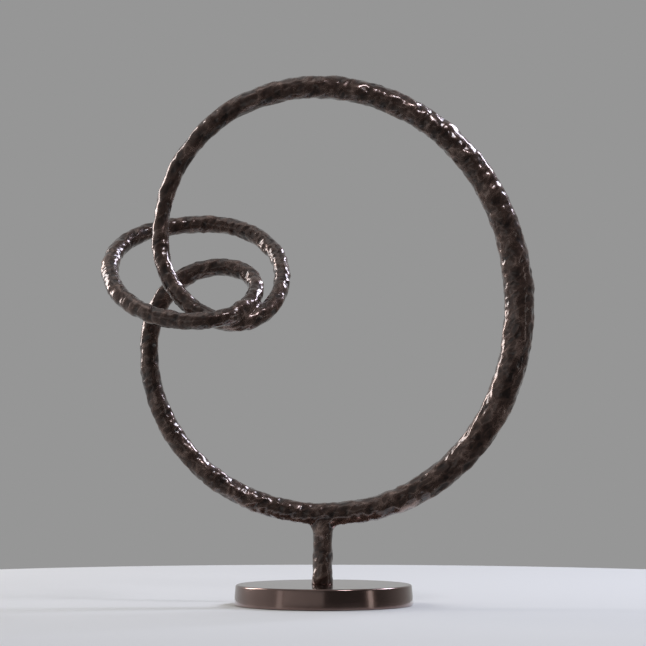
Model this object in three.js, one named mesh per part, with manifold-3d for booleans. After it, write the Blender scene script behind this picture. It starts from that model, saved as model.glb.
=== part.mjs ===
// An abstract sculpture: one hammered rod is bent into a tall oval hoop with a two-turn coil on its left,
// and stands by a short stem on a low round base. Millimetres, +Z up, the front faces -Y.
// The origin is the centre of the base's underside.

import * as THREE from 'three';
import { mergeVertices } from 'three/addons/utils/BufferGeometryUtils.js';
import Module from 'manifold-3d';

// Round base
const BASE_RADIUS = 90;
const BASE_TOP_RADIUS = 88;
const BASE_HEIGHT = 21;
const BASE_RIM_ROUND = 1.8;
const BASE_SEGMENTS = 72;
const RIM_STEPS = 3;

// Stem, from the base's top up into the hoop's lowest stretch
const STEM_CENTRE_X = -1;
const STEM_FOOT_RADIUS = 10.7;
const STEM_WAIST_RADIUS = 9.9;
const STEM_FLARE_HEIGHT = 8;
const STEM_FLARE_LEFT = 4;
const STEM_FLARE_RIGHT = 7;
const STEM_STEPS = 6;
const FLARE_STEPS = 4;

// Rod surface: flats left by the hammer, about 8 mm long and 6 mm wide
const ROD_RINGS = 260;
const ROD_SIDES = 12;
const HAMMER_DEPTH = 0.45;
const HAMMER_SEED = 7;

// Finishes: antique dark bronze on the hammered casting, satin bronze on the turned base
const RING_COLOR = 0x5b4a45;
const RING_ROUGHNESS = 0.35;
const BASE_COLOR = 0x6b5048;
const BASE_ROUGHNESS = 0.3;

// The rod's path is given by the points where it turns. In the front view it runs level at a top or bottom
// point and upright at a side point, and the two kinds take turns. x is to the right, y is away from the
// viewer. Fullness shapes the quarter arc to the next point: 2 is a true ellipse, more is squarer.
const TURNS = [
  { place: 'bottom of the hoop', x: 1.5, y: 0, z: 91.5, radius: 11, fullness: 2.07 },
  { place: 'right side of the hoop', x: 195.5, y: 0, z: 299.5, radius: 15.3, fullness: 2.03 },
  { place: 'top of the hoop', x: -6.5, y: 0, z: 518.3, radius: 12, fullness: 2.05 },
  { place: 'left side of the hoop', x: -163, y: -14, z: 367, radius: 8.3, fullness: 2 },
  { place: 'front of the first turn', x: -87, y: -56, z: 283, radius: 9.2, fullness: 2 },
  { place: 'right side of the first turn', x: -41.5, y: -5, z: 328, radius: 8.6, fullness: 2.12 },
  { place: 'back of the coil', x: -120.5, y: 70, z: 382.5, radius: 8.9, fullness: 2.1 },
  { place: 'left side of the coil', x: -214, y: 5, z: 338.5, radius: 8.8, fullness: 2.06 },
  { place: 'front of the second turn', x: -127, y: -74, z: 284.5, radius: 9, fullness: 2 },
  { place: 'right side of the second turn', x: -67.5, y: -22, z: 318, radius: 8.3, fullness: 2 },
  { place: 'back of the second turn', x: -103, y: 16, z: 338.5, radius: 9, fullness: 2.1 },
  { place: 'lower left of the hoop', x: -174.8, y: 3, z: 255.5, radius: 9.5, fullness: 2.02 },
];
const PATH_SAMPLES = 2400;
const COIL_BACK = TURNS.findIndex((turn) => turn.place === 'back of the coil');

// The turn that a point of the path follows, and the angle covered of the quarter arc after it
function quarterAt(t) {
  const along = THREE.MathUtils.euclideanModulo(t, 1) * TURNS.length;
  const index = Math.floor(along) % TURNS.length;
  return { index, share: along - index, angle: (along - index) * Math.PI / 2 };
}

function turnAt(index) {
  return TURNS[THREE.MathUtils.euclideanModulo(index, TURNS.length)];
}

// How far the path runs from a turn to its neighbour, along the way it runs at that turn
function runBetween(index, neighbour) {
  const along = THREE.MathUtils.euclideanModulo(index, 2) === 0 ? 'x' : 'z';
  return Math.abs(turnAt(neighbour)[along] - turnAt(index)[along]);
}

// The lean of the path in depth as it passes a turn, for the quarter arc towards one neighbour
function leanAt(index, neighbour) {
  const run = runBetween(index, neighbour);
  const wholeRun = runBetween(index, index - 1) + runBetween(index, index + 1);
  return (turnAt(index + 1).y - turnAt(index - 1).y) * (Math.PI / 2) * run / wholeRun;
}

// Depth eases from one turn to the next with no kink, so that the coil seen from above is a round loop
function depthAt(index, share) {
  const square = share * share;
  const cube = square * share;
  return (2 * cube - 3 * square + 1) * turnAt(index).y
    + (cube - 2 * square + share) * leanAt(index, index + 1)
    + (3 * square - 2 * cube) * turnAt(index + 1).y
    + (cube - square) * leanAt(index + 1, index);
}

class RodPath extends THREE.Curve {
  getPoint(t, target = new THREE.Vector3()) {
    const { index, share, angle } = quarterAt(t);
    const from = turnAt(index);
    const to = turnAt(index + 1);
    const power = 2 / from.fullness;
    const fall = Math.max(Math.cos(angle), 0) ** power;
    const rise = Math.sin(angle) ** power;
    const fromLevel = index % 2 === 0;
    const x = fromLevel ? from.x + (to.x - from.x) * rise : to.x + (from.x - to.x) * fall;
    const z = fromLevel ? to.z + (from.z - to.z) * fall : from.z + (to.z - from.z) * rise;
    return target.set(x, depthAt(index, share), z);
  }

  radiusAt(t) {
    const { index, angle } = quarterAt(t);
    const from = turnAt(index).radius;
    return from + (turnAt(index + 1).radius - from) * Math.sin(angle);
  }
}

// Hammer marks: each corner of the skin lies a little deep or proud, the same on every run
THREE.MathUtils.seededRandom(HAMMER_SEED);
const hammered = () => HAMMER_DEPTH * (2 * THREE.MathUtils.seededRandom() - 1);

// Corners stand out this far so that the many-sided section holds the round rod's area
const SIDE_ANGLE = 2 * Math.PI / ROD_SIDES;
const CORNER_REACH = Math.sqrt(SIDE_ANGLE / Math.sin(SIDE_ANGLE));

// Sections of the rod at equal steps, every other one turned half a side, which makes lozenge flats
function rodRings(path) {
  const frames = path.computeFrenetFrames(ROD_RINGS, true);
  return Array.from({ length: ROD_RINGS }, (_, ring) => {
    const t = path.getUtoTmapping(ring / ROD_RINGS);
    const centre = path.getPoint(t);
    return Array.from({ length: ROD_SIDES }, (_, side) => {
      const angle = (side + (ring % 2) / 2) * SIDE_ANGLE;
      const reach = path.radiusAt(t) * CORNER_REACH + hammered();
      return centre.clone()
        .addScaledVector(frames.normals[ring], reach * Math.cos(angle))
        .addScaledVector(frames.binormals[ring], reach * Math.sin(angle));
    });
  });
}

// Stem sections: a slight waist, then a fillet in the hoop's plane where the two run together
function stemRings() {
  const hoopBottom = TURNS[0];
  const underside = hoopBottom.z - hoopBottom.radius;
  const flareStart = underside - STEM_FLARE_HEIGHT;
  const shaft = Array.from({ length: STEM_STEPS }, (_, step) => {
    return THREE.MathUtils.lerp(BASE_HEIGHT, flareStart, step / STEM_STEPS);
  });
  const fillet = Array.from({ length: FLARE_STEPS + 1 }, (_, step) => {
    return flareStart + STEM_FLARE_HEIGHT * step / FLARE_STEPS;
  });
  return [...shaft, ...fillet, hoopBottom.z].map((z, level) => {
    const footShare = 1 - THREE.MathUtils.smoothstep(z, BASE_HEIGHT, hoopBottom.z / 2);
    const round = THREE.MathUtils.lerp(STEM_WAIST_RADIUS, STEM_FOOT_RADIUS, footShare);
    const rise = THREE.MathUtils.clamp((z - flareStart) / STEM_FLARE_HEIGHT, 0, 1);
    const flare = 1 - Math.sqrt(1 - rise * rise);
    return Array.from({ length: ROD_SIDES }, (_, side) => {
      const angle = (side + (level % 2) / 2) * SIDE_ANGLE;
      const across = Math.cos(angle);
      const spread = across > 0 ? STEM_FLARE_RIGHT : STEM_FLARE_LEFT;
      const reach = round * CORNER_REACH + hammered();
      return new THREE.Vector3(
        STEM_CENTRE_X + (reach + spread * flare) * across,
        reach * Math.sin(angle),
        z,
      );
    });
  });
}

// A closed skin over a row of sections with flat ends; each four-cornered patch folds on its short diagonal
function loft(rings) {
  const sides = rings[0].length;
  const last = rings.length - 1;
  const points = rings.flat();
  const corner = (ring, side) => ring * sides + side % sides;
  const triangles = [];
  for (let ring = 0; ring < last; ring += 1) {
    for (let side = 0; side < sides; side += 1) {
      const a = corner(ring, side);
      const b = corner(ring, side + 1);
      const c = corner(ring + 1, side + 1);
      const d = corner(ring + 1, side);
      const foldAC = points[a].distanceTo(points[c]) < points[b].distanceTo(points[d]);
      triangles.push(...(foldAC ? [a, b, c, a, c, d] : [a, b, d, b, c, d]));
    }
  }
  for (const ring of [0, last]) {
    const middle = points.length;
    const sum = rings[ring].reduce((total, point) => total.add(point), new THREE.Vector3());
    points.push(sum.divideScalar(sides));
    for (let side = 0; side < sides; side += 1) {
      const edge = [corner(ring, side), corner(ring, side + 1)];
      triangles.push(middle, ...(ring === 0 ? edge.reverse() : edge));
    }
  }
  const geometry = new THREE.BufferGeometry().setFromPoints(points);
  geometry.setIndex(triangles);
  return geometry;
}

const wasm = await Module();
wasm.setup();

function toSolid(geometry) {
  const merged = mergeVertices(geometry);
  const vertProperties = merged.getAttribute('position').array;
  const triVerts = new Uint32Array(merged.index.array);
  return new wasm.Manifold(new wasm.Mesh({ numProp: 3, vertProperties, triVerts }));
}

function toGeometry(solid) {
  const { vertProperties, triVerts } = solid.getMesh();
  const geometry = new THREE.BufferGeometry();
  geometry.setAttribute('position', new THREE.BufferAttribute(vertProperties, 3));
  geometry.setIndex(new THREE.BufferAttribute(triVerts, 1));
  geometry.computeVertexNormals();
  return geometry;
}

// The casting: the rod is lofted in two lengths that meet at the stem and at the coil's back, because its
// two turns run into each other at the front of the coil, and the stem is joined to it
function knottedRing() {
  const path = new RodPath();
  path.arcLengthDivisions = PATH_SAMPLES;
  const rings = rodRings(path);
  const backRing = rings.findIndex((_, ring) => {
    return path.getUtoTmapping(ring / ROD_RINGS) >= COIL_BACK / TURNS.length;
  });
  const hoopAndFirstTurn = toSolid(loft(rings.slice(0, backRing + 1)));
  const secondTurnAndReturn = toSolid(loft([...rings.slice(backRing), rings[0]]));
  const stem = toSolid(loft(stemRings()));
  return toGeometry(hoopAndFirstTurn.add(secondTurnAndReturn).add(stem));
}

// The base: a turned disc with a slight draft and two softly rounded rims
function roundBase() {
  const rim = (centreX, centreY, startAngle) => Array.from({ length: RIM_STEPS + 1 }, (_, step) => {
    const angle = startAngle + (step / RIM_STEPS) * Math.PI / 2;
    return new THREE.Vector2(
      centreX + BASE_RIM_ROUND * Math.cos(angle),
      centreY + BASE_RIM_ROUND * Math.sin(angle),
    );
  });
  const profile = [
    new THREE.Vector2(0, 0),
    ...rim(BASE_RADIUS - BASE_RIM_ROUND, BASE_RIM_ROUND, -Math.PI / 2),
    ...rim(BASE_TOP_RADIUS - BASE_RIM_ROUND, BASE_HEIGHT - BASE_RIM_ROUND, 0),
    new THREE.Vector2(0, BASE_HEIGHT),
  ];
  return new THREE.LatheGeometry(profile, BASE_SEGMENTS).rotateX(Math.PI / 2);
}

function piece(name, geometry, color, roughness) {
  const material = new THREE.MeshStandardMaterial({ color, roughness, metalness: 1, flatShading: true });
  const mesh = new THREE.Mesh(geometry, material);
  mesh.name = name;
  return mesh;
}

const sculpture = new THREE.Group();
sculpture.add(piece('knotted_ring', knottedRing(), RING_COLOR, RING_ROUGHNESS));
sculpture.add(piece('round_base', roundBase(), BASE_COLOR, BASE_ROUGHNESS));

export default sculpture;
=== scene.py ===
# %% [markdown]
# # A knotted ring of hammered metal on a round base
# The real object is a table sculpture in two pieces. One is a casting that looks like a rod: it runs
# round a tall oval hoop, winds twice into a coil on the hoop's left, and stands on a short stem. The
# other is a low, smooth, turned disc under the stem. The solids of both are loaded here as a frame in
# metres, with +Z up and the front towards -Y. This lesson gives them their surfaces: hammer dents that
# are real geometry on the casting, crisp turned rims on the disc, and the two bronze finishes.

import math

import bmesh
import bpy
import numpy as np
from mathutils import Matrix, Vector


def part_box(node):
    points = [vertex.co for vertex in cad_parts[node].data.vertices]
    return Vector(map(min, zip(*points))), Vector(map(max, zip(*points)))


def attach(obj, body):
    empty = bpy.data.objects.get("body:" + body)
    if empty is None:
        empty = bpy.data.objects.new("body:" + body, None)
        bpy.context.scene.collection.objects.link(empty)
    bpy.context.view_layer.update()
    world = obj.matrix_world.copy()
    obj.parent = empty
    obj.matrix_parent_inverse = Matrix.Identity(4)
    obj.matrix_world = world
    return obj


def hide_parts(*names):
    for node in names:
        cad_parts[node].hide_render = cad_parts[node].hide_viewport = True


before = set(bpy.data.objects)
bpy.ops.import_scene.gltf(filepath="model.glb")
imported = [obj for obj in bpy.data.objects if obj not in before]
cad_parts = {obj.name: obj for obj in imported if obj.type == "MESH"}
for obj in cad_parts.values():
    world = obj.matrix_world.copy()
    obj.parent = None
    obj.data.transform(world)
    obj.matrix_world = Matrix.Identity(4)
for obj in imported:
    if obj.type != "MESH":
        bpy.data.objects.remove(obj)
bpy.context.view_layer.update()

MM = 0.001
print("pieces in the frame:", sorted(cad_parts))

# %% [markdown]
# ## The camera
# The picture was taken with a long lens from almost level with the middle of the hoop: the base's top
# shows only as a thin ellipse. A distance of nearly five metres with a 275 mm lens gives the same flat
# perspective. The camera stands level with the hoop's middle and looks a very little down.

# %% Camera
CAMERA_DISTANCE = 4.941
CAMERA_HEIGHT = 0.3085
AIM_HEIGHT = 0.2825
CAMERA_X = -0.0007
LENS = 275.3
FAR_CLIP = 20

tilt = math.atan2(CAMERA_HEIGHT - AIM_HEIGHT, CAMERA_DISTANCE)
bpy.ops.object.camera_add(
    location=(CAMERA_X, -CAMERA_DISTANCE, CAMERA_HEIGHT),
    rotation=(math.radians(90) - tilt, 0, 0),
)
camera = bpy.context.object
camera.data.lens = LENS
camera.data.clip_end = FAR_CLIP
bpy.context.scene.camera = camera
print("camera tilt, degrees:", round(math.degrees(tilt), 2))

# %% [markdown]
# ## Two small helpers for modelling
# Operators act on whatever is selected, so a step starts by selecting one object alone. A modifier is
# added with its settings and applied at once, as a modeller does after trying it in the panel.

# %% Helpers for modelling


def select_only(piece):
    bpy.ops.object.select_all(action="DESELECT")
    piece.select_set(True)
    bpy.context.view_layer.objects.active = piece


def apply_modifier(piece, kind, **settings):
    modifier = piece.modifiers.new(kind.lower(), kind)
    for setting, value in settings.items():
        setattr(modifier, setting, value)
    select_only(piece)
    bpy.ops.object.modifier_apply(modifier=modifier.name)


# %% [markdown]
# ## The hammered ring: an even skin
# The casting's solid has large flat facets. A hammered skin needs many small, even faces to carry dents
# a few millimetres across. A swept curve could make the rod, but not the place where two turns melt
# into each other or the fillet at the stem. A voxel remesh of the solid keeps its form and gives one
# closed skin everywhere, so that is used here, and a smoothing takes the steps of the voxels away. The
# foot of the stem is left out of all later moves by a vertex group, so that it meets the base on a flat.

# %% Even skin over the casting
SKIN_STEP = 1.5 * MM
WELD_GAP = 0.001 * MM
FOOT_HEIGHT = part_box("knotted_ring")[0][2]
FOOT_FADE = 5 * MM
FREE = "free_of_foot"
SMOOTHING = 0.5
VOXEL_PASSES = 10

ring = bpy.data.objects.new("hammered_ring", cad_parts["knotted_ring"].data.copy())
bpy.context.collection.objects.link(ring)
ring.data.materials.clear()
select_only(ring)
bpy.ops.object.mode_set(mode="EDIT")
bpy.ops.mesh.select_all(action="SELECT")
bpy.ops.mesh.remove_doubles(threshold=WELD_GAP)
bpy.ops.object.mode_set(mode="OBJECT")
apply_modifier(ring, "REMESH", mode="VOXEL", voxel_size=SKIN_STEP, use_smooth_shade=True)

free = ring.vertex_groups.new(name=FREE)
for vertex in ring.data.vertices:
    above_foot = (vertex.co.z - FOOT_HEIGHT) / FOOT_FADE
    free.add([vertex.index], min(max(above_foot, 0), 1), "REPLACE")

apply_modifier(ring, "SMOOTH", factor=SMOOTHING, iterations=VOXEL_PASSES, vertex_group=FREE)
print("skin of the ring, triangles:", 2 * len(ring.data.polygons))

# %% [markdown]
# ## The hammered ring: helpers for dents
# The skin looks as if it was worked by hand before it was cast, with strokes that lean to one side and
# leave long, shallow dents. Sculpting each by hand would take days, and a bump in the material would
# leave the outline smooth. Displace modifiers press a pattern in along the surface normals instead. The
# pattern is read in the space of an empty that is as large as one dent, longer along one axis and turned,
# so the dents are stretched and leaned as a modeller would do it by eye. A second helper reads the places
# or the normals of all vertices, to measure what the dents did.

# %% Helpers for dents


def press(piece, name, kind, size, stretch, lean, depth, middle, **settings):
    pattern = bpy.data.textures.new(name, kind)
    pattern.noise_scale = 1
    for setting, value in settings.items():
        setattr(pattern, setting, value)
    bpy.ops.object.empty_add(rotation=(0, math.radians(lean), 0))
    stroke = bpy.context.object
    stroke.scale = (size, size, size * stretch)
    bpy.context.view_layer.update()
    apply_modifier(
        piece, "DISPLACE", texture=pattern, texture_coords="OBJECT", texture_coords_object=stroke,
        strength=depth, mid_level=middle, vertex_group=FREE,
    )
    bpy.data.objects.remove(stroke)


def vertex_vectors(mesh, which):
    vectors = np.empty(len(mesh.vertices) * 3)
    mesh.vertices.foreach_get(which, vectors)
    return vectors.reshape(-1, 3)


# %% [markdown]
# ## The hammered ring: three layers of dents
# A slow unevenness comes first, which the rod has all along its length. Then come the broad dents, about
# a centimetre across: distance to scattered points, bent by a soft noise, gives bowls that crowd each
# other with ridges between them. Last come fine creases from a ridged noise. A little smoothing rounds
# the ridges, as a coat of lacquer does.

# %% Hammer dents
DENT_PASSES = 5

press(
    ring, "slow unevenness", "CLOUDS", size=26 * MM, stretch=1.5, lean=20, depth=1.0 * MM, middle=0.5,
    noise_depth=1,
)
even_places = vertex_vectors(ring.data, "co")
even_normals = vertex_vectors(ring.data, "normal")

press(
    ring, "broad dents", "DISTORTED_NOISE", size=9.5 * MM, stretch=1.6, lean=40, depth=1.2 * MM, middle=0.1,
    noise_basis="VORONOI_F1", noise_distortion="IMPROVED_PERLIN", distortion=1.0,
)
press(
    ring, "fine creases", "MUSGRAVE", size=8 * MM, stretch=1.8, lean=55, depth=0.16 * MM, middle=0.5,
    musgrave_type="RIDGED_MULTIFRACTAL", octaves=1, lacunarity=2, dimension_max=1,
)
apply_modifier(ring, "SMOOTH", factor=SMOOTHING, iterations=DENT_PASSES, vertex_group=FREE)
print("pressed:", [pattern.name for pattern in bpy.data.textures])

# %% [markdown]
# ## The hammered ring: ridges and hollows
# On the real piece the stain stays in the hollows and is rubbed off the ridges, so the finish has to tell
# them apart. It could read the bend of the surface, but that is noisy on so fine a skin. How far each
# vertex was moved along its normal is known here, so it is kept on the skin as an attribute, from 0 in
# the deepest hollow to 1 on the highest ridge.

# %% Relief of the dents
RELIEF_SPAN = 2.8 * MM
RELIEF_ATTRIBUTE = "ridge"
MIDDLE = 0.5

moves = vertex_vectors(ring.data, "co") - even_places
relief = np.einsum("ij,ij->i", moves, even_normals)
ridge = ring.data.attributes.new(RELIEF_ATTRIBUTE, "FLOAT", "POINT")
ridge.data.foreach_set("value", np.clip(MIDDLE + relief / RELIEF_SPAN, 0, 1).astype(np.float32))
print("relief of the dents, mm:", np.round(np.percentile(relief / MM, [1, 25, 50, 75, 99]), 2))

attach(ring, "root")
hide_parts("knotted_ring")

# %% [markdown]
# ## Choosing faces
# In edit mode an operator acts on the chosen faces. By hand they are clicked. In a script they are chosen
# by the way they face, which still holds when a size changes. Of the base's faces, only the flat ones at
# its two ends have more than four corners.

# %% Helpers for choosing faces
FLAT_ENOUGH = 0.99


def is_top(face):
    return face.normal.z > FLAT_ENOUGH


def is_flat(face):
    return abs(face.normal.z) > FLAT_ENOUGH


def is_flat_middle(face):
    return is_flat(face) and len(face.verts) > 4


def select_faces(piece, wanted):
    bpy.ops.mesh.select_mode(type="FACE")
    bpy.ops.mesh.select_all(action="DESELECT")
    shape = bmesh.from_edit_mesh(piece.data)
    for face in shape.faces:
        face.select_set(wanted(face))
    bmesh.update_edit_mesh(piece.data)


# %% [markdown]
# ## The round base
# The base is a disc turned on a lathe, a little narrower at the top, with both rims rounded over. A
# profile could be spun round the axis. A cylinder is quicker here: it is added at its size, its top is
# drawn in for the taper, and the two rims are bevelled. Insets on the flat faces keep the shading of the
# rims from spreading over them, and a poke cuts each flat middle into triangles that meet on the axis.

# %% Round base
base_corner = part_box("round_base")[1]
BASE_RADIUS = base_corner[0]
BASE_HEIGHT = base_corner[2]
TOP_RADIUS = BASE_RADIUS - 2 * MM
RIM_ROUND = 1.8 * MM
RIM_STEPS = 6
RIM_PROFILE = 0.5
BASE_SIDES = 180
FLAT_MARGIN = 1.5 * MM
SHARP_ANGLE = math.radians(40)

bpy.ops.object.select_all(action="DESELECT")
bpy.ops.mesh.primitive_cylinder_add(
    vertices=BASE_SIDES, radius=BASE_RADIUS, depth=BASE_HEIGHT, location=(0, 0, BASE_HEIGHT / 2),
)
base = bpy.context.object
base.name = "turned_base"
bpy.ops.object.transform_apply(location=True, rotation=True, scale=True)

bpy.ops.object.mode_set(mode="EDIT")
select_faces(base, is_top)
taper = TOP_RADIUS / BASE_RADIUS
bpy.ops.transform.resize(value=(taper, taper, 1), center_override=(0, 0, BASE_HEIGHT))
select_faces(base, is_flat)
bpy.ops.mesh.region_to_loop()
bpy.ops.mesh.bevel(offset=RIM_ROUND, segments=RIM_STEPS, profile=RIM_PROFILE, affect="EDGES")
select_faces(base, is_flat_middle)
bpy.ops.mesh.inset(thickness=FLAT_MARGIN, use_individual=True)
select_faces(base, is_flat_middle)
bpy.ops.mesh.poke()
bpy.ops.object.mode_set(mode="OBJECT")
select_only(base)
bpy.ops.object.shade_smooth_by_angle(angle=SHARP_ANGLE)
print("base faces:", len(base.data.polygons), "height, mm:", round(base.dimensions.z / MM, 2))

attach(base, "root")
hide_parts("round_base")

# %% [markdown]
# ## Helpers for finishes
# Colours are written as sRGB hex values, as they are read off a picture, and turned into the linear
# values that shaders need by one function. Another adds a node with its settings and links. A pattern's
# scale is the number of its features in a metre, so it is worked out from the size of one. A Mix node has
# the same socket names for numbers and for colours, so its sockets are counted.

# %% Helpers for finishes
MIX_SHARE = 0
FIRST_COLOUR = 6
SECOND_COLOUR = 7
MIXED_COLOUR = 2


def linear(hex_colour):
    channels = [int(hex_colour[i:i + 2], 16) / 255 for i in (1, 3, 5)]
    bent = [c / 12.92 if c <= 0.04045 else ((c + 0.055) / 1.055) ** 2.4 for c in channels]
    return (*bent, 1)


def pattern_scale(size):
    return 1 / size


def new_finish(name):
    finish = bpy.data.materials.new(name)
    finish.use_nodes = True
    return finish, finish.node_tree, finish.node_tree.nodes["Principled BSDF"]


def add_node(tree, kind, inputs=None, **settings):
    node = tree.nodes.new(kind)
    for setting, value in settings.items():
        setattr(node, setting, value)
    for socket, value in (inputs or {}).items():
        if isinstance(value, bpy.types.NodeSocket):
            tree.links.new(value, node.inputs[socket])
        else:
            node.inputs[socket].default_value = value
    return node


# %% [markdown]
# ## Finish of the ring: strokes
# The casting is aluminium, stained to a dark antique bronze, rubbed, and lacquered. The finest strokes
# of the hammer are drawn in the finish. A painted image could carry them, but it would need an unwrapped
# skin. A cell pattern in the object's own space needs none. It is leaned and stretched as the dents are,
# and its places are swayed by a soft noise, because no stroke is quite straight. The distance to the
# nearest border between two cells gives the thin ridges that stand between the strokes.

# %% Strokes on the ring
# To the eye: a dark brown body, warm lighter ridges between the strokes, and small near-white glints.
antique, tree, shader = new_finish("antique bronze on hammered aluminium")
STROKE_WIDTH = 8 * MM
STROKE_STRETCH = 2.2
STROKE_LEAN = math.radians(45)
SWAY_SIZE = 12 * MM
SWAY = 9 * MM
BORDER_SHARE = 0.2

place = add_node(tree, "ShaderNodeTexCoord").outputs["Object"]
sway = add_node(tree, "ShaderNodeTexNoise", {
    "Vector": place, "Scale": pattern_scale(SWAY_SIZE), "Detail": 1,
})
swayed = add_node(tree, "ShaderNodeVectorMath", {
    0: sway.outputs["Color"], 1: (SWAY, SWAY, SWAY), 2: place,
}, operation="MULTIPLY_ADD")
leaned = add_node(tree, "ShaderNodeMapping", {
    "Vector": swayed.outputs[0], "Rotation": (0, STROKE_LEAN, 0), "Scale": (1, 1, STROKE_STRETCH),
}, vector_type="TEXTURE")
strokes = add_node(tree, "ShaderNodeTexVoronoi", {
    "Vector": leaned.outputs[0], "Scale": pattern_scale(STROKE_WIDTH),
}, feature="DISTANCE_TO_EDGE")
border = add_node(tree, "ShaderNodeMapRange", {
    "Value": strokes.outputs["Distance"], "From Min": 0, "From Max": BORDER_SHARE, "To Min": 1, "To Max": 0,
}, interpolation_type="SMOOTHSTEP")
print("strokes of", round(STROKE_WIDTH / MM, 1), "by", round(STROKE_WIDTH * STROKE_STRETCH / MM, 1), "mm")

# %% [markdown]
# ## Finish of the ring: tone
# Rubbing takes the stain off whatever stands up. One tone, from hollow to ridge, could come from the
# height of the dents alone, but then it would be as smooth as they are. So the borders of the strokes and
# a streaky mottle are added to it.

# %% Tone of the ring
MOTTLE_SIZE = 7 * MM
MOTTLE_WEIGHT = 0.9
BORDER_WEIGHT = 0.28
TONE_SHIFT = 0.56

height = add_node(tree, "ShaderNodeAttribute", attribute_name=RELIEF_ATTRIBUTE).outputs["Fac"]
mottle = add_node(tree, "ShaderNodeTexNoise", {
    "Vector": leaned.outputs[0], "Scale": pattern_scale(MOTTLE_SIZE), "Detail": 4, "Roughness": 0.65,
})
worn = add_node(tree, "ShaderNodeMath", {
    0: mottle.outputs["Fac"], 1: MOTTLE_WEIGHT, 2: height,
}, operation="MULTIPLY_ADD")
edged = add_node(tree, "ShaderNodeMath", {
    0: border.outputs["Result"], 1: BORDER_WEIGHT, 2: worn.outputs[0],
}, operation="MULTIPLY_ADD")
tone = add_node(tree, "ShaderNodeMath", {0: edged.outputs[0], 1: TONE_SHIFT}, operation="SUBTRACT")
print("mottle of", round(MOTTLE_SIZE / MM, 1), "mm")

# %% [markdown]
# ## Finish of the ring: colour
# Two mixes turn the tone into colour: the first goes from the stain in the hollows to the body, the
# second on to the rubbed ridges. A colour ramp could do the same, but with two mixes each step has its
# own range.

# %% Colour of the ring
HOLLOW = "#281A15"
BODY = "#543F36"
RIDGE = "#8F776C"
BODY_START, BODY_END = 0.1, 0.5
RIDGE_START, RIDGE_END = 0.55, 1.0

to_body = add_node(tree, "ShaderNodeMapRange", {
    "Value": tone.outputs[0], "From Min": BODY_START, "From Max": BODY_END,
})
to_ridge = add_node(tree, "ShaderNodeMapRange", {
    "Value": tone.outputs[0], "From Min": RIDGE_START, "From Max": RIDGE_END,
})
stain = add_node(tree, "ShaderNodeMix", {
    MIX_SHARE: to_body.outputs["Result"], FIRST_COLOUR: linear(HOLLOW), SECOND_COLOUR: linear(BODY),
}, data_type="RGBA")
colour = add_node(tree, "ShaderNodeMix", {
    MIX_SHARE: to_ridge.outputs["Result"],
    FIRST_COLOUR: stain.outputs[MIXED_COLOUR],
    SECOND_COLOUR: linear(RIDGE),
}, data_type="RGBA")
tree.links.new(colour.outputs[MIXED_COLOUR], shader.inputs["Base Color"])
print("colours of the ring:", HOLLOW, BODY, RIDGE)

# %% [markdown]
# ## Finish of the ring: gloss
# Bare metal would tint every reflection brown, but the glints on the real piece are nearly white. They
# come from the lacquer. So the stain is only partly metal, and a clear coat lies over it. Its index is a
# little above a common lacquer's, matched to the strength of the glints. Rubbed ridges are smoother than
# the hollows. The borders of the strokes and a grain of casting pits are a shallow bump. The pits are
# drawn coarser than real ones, so that they show.

# %% Gloss of the ring
HOLLOW_ROUGHNESS = 0.36
RIDGE_ROUGHNESS = 0.22
GLOSS_START, GLOSS_END = 0.1, 0.9
GRAIN_SIZE = 2.2 * MM
GRAIN_DEPTH = 0.03 * MM
BORDER_DEPTH = 0.3 * MM

gloss = add_node(tree, "ShaderNodeMapRange", {
    "Value": tone.outputs[0], "From Min": GLOSS_START, "From Max": GLOSS_END,
    "To Min": HOLLOW_ROUGHNESS, "To Max": RIDGE_ROUGHNESS,
})
tree.links.new(gloss.outputs["Result"], shader.inputs["Roughness"])
grain = add_node(tree, "ShaderNodeTexNoise", {
    "Vector": place, "Scale": pattern_scale(GRAIN_SIZE), "Detail": 3, "Roughness": 0.55,
})
pits = add_node(tree, "ShaderNodeBump", {
    "Height": grain.outputs["Fac"], "Distance": GRAIN_DEPTH, "Strength": 0.5,
})
marks = add_node(tree, "ShaderNodeBump", {
    "Height": border.outputs["Result"], "Distance": BORDER_DEPTH, "Strength": 0.3,
    "Normal": pits.outputs["Normal"],
})
tree.links.new(marks.outputs["Normal"], shader.inputs["Normal"])
tree.links.new(marks.outputs["Normal"], shader.inputs["Coat Normal"])
shader.inputs["Metallic"].default_value = 0.6
shader.inputs["Coat Weight"].default_value = 0.9
shader.inputs["Coat IOR"].default_value = 1.6
shader.inputs["Coat Roughness"].default_value = 0.14
ring.data.materials.append(antique)
print("finish of the ring:", antique.name)

# %% [markdown]
# ## Finish of the base: lines of the lathe
# The disc has the same bronze tone, but smooth: turning leaves rings on the top and lines round the side
# that are only just visible. A wave texture could draw them, but its lines would be evenly spaced.
# Distance from the axis, less the height, is read by a noise along one line instead, so the rings and the
# lines run into each other over the rim. The real ones are finer than a picture of the whole piece can
# show, so they are drawn coarser here.

# %% Lines on the base
# To the eye: an even brown metal that mirrors the room softly, with faint lines that run round it.
satin, tree, shader = new_finish("satin bronze on turned aluminium")
LINE_SPACING = 1.2 * MM

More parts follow.
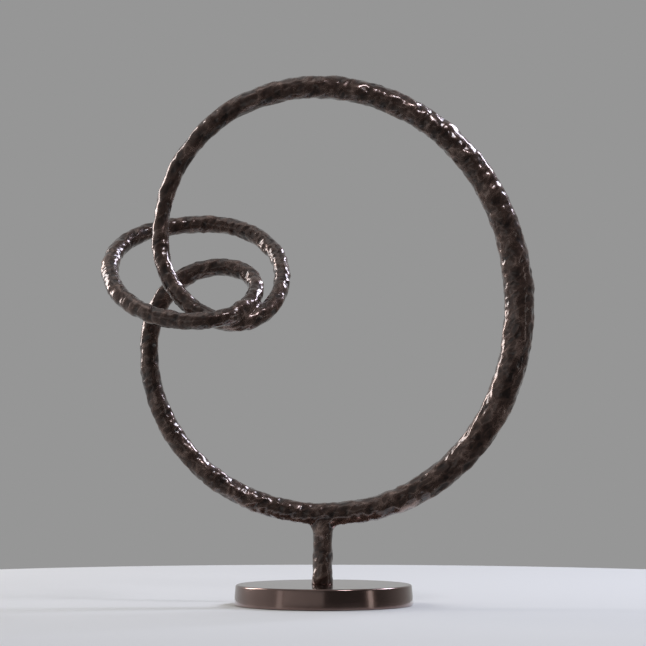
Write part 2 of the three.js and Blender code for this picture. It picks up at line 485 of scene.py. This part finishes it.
place = add_node(tree, "ShaderNodeTexCoord").outputs["Object"]
split = add_node(tree, "ShaderNodeSeparateXYZ", {"Vector": place})
level = add_node(tree, "ShaderNodeCombineXYZ", {"X": split.outputs["X"], "Y": split.outputs["Y"]})
radius = add_node(tree, "ShaderNodeVectorMath", {0: level.outputs[0]}, operation="LENGTH")
along = add_node(tree, "ShaderNodeMath", {
    0: radius.outputs["Value"], 1: split.outputs["Z"],
}, operation="SUBTRACT")
lines = add_node(tree, "ShaderNodeTexNoise", {
    "W": along.outputs[0], "Scale": pattern_scale(LINE_SPACING), "Detail": 2,
}, noise_dimensions="1D")
print("lines of the lathe about every", round(LINE_SPACING / MM, 1), "mm")

# %% [markdown]
# ## Finish of the base: colour and gloss
# The disc is plain metal under a clear satin lacquer. One flat colour would look like paint, so a slow
# cloud keeps its tone from being quite even. The lines change its roughness more than its height, as fine
# turning does.

# %% Colour and gloss of the base
CLOUD_SIZE = 35 * MM
CLOUD_START, CLOUD_END = 0.3, 0.7
SATIN_DARK = "#806861"
SATIN_LIGHT = "#90776F"
LEAST_ROUGHNESS = 0.12
MOST_ROUGHNESS = 0.24
LINE_DEPTH = 0.008 * MM

cloud = add_node(tree, "ShaderNodeTexNoise", {
    "Vector": place, "Scale": pattern_scale(CLOUD_SIZE), "Detail": 3,
})
tone = add_node(tree, "ShaderNodeMapRange", {
    "Value": cloud.outputs["Fac"], "From Min": CLOUD_START, "From Max": CLOUD_END,
})
colour = add_node(tree, "ShaderNodeMix", {
    MIX_SHARE: tone.outputs["Result"],
    FIRST_COLOUR: linear(SATIN_DARK),
    SECOND_COLOUR: linear(SATIN_LIGHT),
}, data_type="RGBA")
tree.links.new(colour.outputs[MIXED_COLOUR], shader.inputs["Base Color"])
gloss = add_node(tree, "ShaderNodeMapRange", {
    "Value": lines.outputs["Fac"], "To Min": LEAST_ROUGHNESS, "To Max": MOST_ROUGHNESS,
})
tree.links.new(gloss.outputs["Result"], shader.inputs["Roughness"])
scores = add_node(tree, "ShaderNodeBump", {
    "Height": lines.outputs["Fac"], "Distance": LINE_DEPTH, "Strength": 0.5,
})
tree.links.new(scores.outputs["Normal"], shader.inputs["Normal"])
shader.inputs["Metallic"].default_value = 1
shader.inputs["Coat Weight"].default_value = 1
shader.inputs["Coat Roughness"].default_value = 0.08
base.data.materials.append(satin)
print("finish of the base:", satin.name)

# %% [markdown]
# ## The floor
# A plain pale floor carries the piece and takes its shadow. It is one disc, inset and separated into two.
# The small one round the base shows in the metal, as a table top would. The wide one is kept out of the
# reflections, because it would light the hoop's underside as strongly as a lamp.

# %% Floor
FLOOR_RADIUS = 0.75
NEAR_RADIUS = 0.18
FLOOR_SIDES = 128
FLOOR_COLOUR = "#E2E4E2"

matt, tree, shader = new_finish("pale matt floor")
shader.inputs["Base Color"].default_value = linear(FLOOR_COLOUR)
shader.inputs["Roughness"].default_value = 0.8

bpy.ops.object.select_all(action="DESELECT")
bpy.ops.mesh.primitive_circle_add(vertices=FLOOR_SIDES, radius=FLOOR_RADIUS, fill_type="NGON")
wide_floor = bpy.context.object
wide_floor.name = "pale_floor"
bpy.ops.object.mode_set(mode="EDIT")
bpy.ops.mesh.inset(thickness=FLOOR_RADIUS - NEAR_RADIUS)
bpy.ops.mesh.separate(type="SELECTED")
bpy.ops.object.mode_set(mode="OBJECT")
near_floor = next(floor for floor in bpy.context.selected_objects if floor != wide_floor)
near_floor.name = "pale_floor_round_base"
wide_floor.visible_glossy = False
for floor in (wide_floor, near_floor):
    floor.data.materials.append(matt)
    print(floor.name, "faces:", len(floor.data.polygons), "width, m:", round(floor.dimensions.x, 3))

# %% [markdown]
# ## The lights
# The rod is dark and glossy, so reflections draw its form, and each light is placed for the ones it
# draws. A softbox on either side, a little behind, draws the long rims. The key in front on the right
# draws the row of short glints, and the ceiling panel the upper side of the coil. Three dim lights low in
# front give the base's side its upright bands. All are soft and out of the camera's sight.

# %% Lights
LIGHT_AIM = (0, 0, 0.28)


def add_softbox(name, place, size, power, colour):
    offset = [aim - start for aim, start in zip(LIGHT_AIM, place)]
    lean = math.atan2(math.hypot(offset[0], offset[1]), -offset[2])
    turn = math.atan2(offset[1], offset[0]) - math.radians(90)
    bpy.ops.object.light_add(type="AREA", location=place, rotation=(lean, 0, turn))
    light = bpy.context.object
    light.name = name
    light.data.shape = "RECTANGLE"
    light.data.size, light.data.size_y = size
    light.data.energy = power
    light.data.color = linear(colour)[:3]
    light.visible_camera = False
    print(name, "of", power, "W")


add_softbox("right softbox", place=(1.35, 0.75, 1.55), size=(0.7, 0.7), power=26, colour="#E6E9FF")
add_softbox("left softbox", place=(-1.60, 0.80, 0.95), size=(0.6, 1.3), power=18, colour="#FFF8F6")
add_softbox("right key", place=(0.85, -1.10, 1.80), size=(0.4, 0.4), power=10, colour="#F4F4FF")
add_softbox("ceiling panel", place=(-0.45, -0.10, 2.00), size=(1.0, 1.0), power=1.6, colour="#FFF8F6")
add_softbox("front left panel", place=(-0.85, -1.75, 0.32), size=(1.9, 0.5), power=0.65, colour="#FFFFFF")
add_softbox("low right strip", place=(1.50, -0.80, 0.25), size=(0.2, 0.5), power=0.33, colour="#FFFFFF")
add_softbox("low left strip", place=(-1.60, -1.00, 0.25), size=(0.25, 0.6), power=0.22, colour="#FFFFFF")

# %% [markdown]
# ## The room
# Behind the piece the camera sees an even grey. What the metal mirrors is a plain room that is light
# behind the piece on the left and dark in front on the right, so that each facet of the rod catches a
# different shade.

# %% Room
WALL_GREY = 0.305
DARK_SIDE = 0.05
LIGHT_SIDE = 0.38
TOWARDS_LIGHT = (-0.4, 0.6, 0)
SHADE_START, SHADE_END = -0.6, 0.5
FIRST_NUMBER = 2
SECOND_NUMBER = 3
MIXED_NUMBER = 0

room = bpy.data.worlds.new("grey room")
bpy.context.scene.world = room
room.use_nodes = True
tree = room.node_tree
seen = add_node(tree, "ShaderNodeLightPath").outputs["Is Camera Ray"]
direction = add_node(tree, "ShaderNodeTexCoord").outputs["Generated"]
nearness = add_node(tree, "ShaderNodeVectorMath", {
    0: direction, 1: TOWARDS_LIGHT,
}, operation="DOT_PRODUCT")
shade = add_node(tree, "ShaderNodeMapRange", {
    "Value": nearness.outputs["Value"], "From Min": SHADE_START, "From Max": SHADE_END,
    "To Min": DARK_SIDE, "To Max": LIGHT_SIDE,
})
wall = add_node(tree, "ShaderNodeMix", {
    MIX_SHARE: seen, FIRST_NUMBER: shade.outputs["Result"], SECOND_NUMBER: WALL_GREY,
})
tree.links.new(wall.outputs[MIXED_NUMBER], tree.nodes["Background"].inputs["Color"])
bpy.context.scene.view_settings.view_transform = "Standard"
print("room from", DARK_SIDE, "to", LIGHT_SIDE, "and a wall of", WALL_GREY)
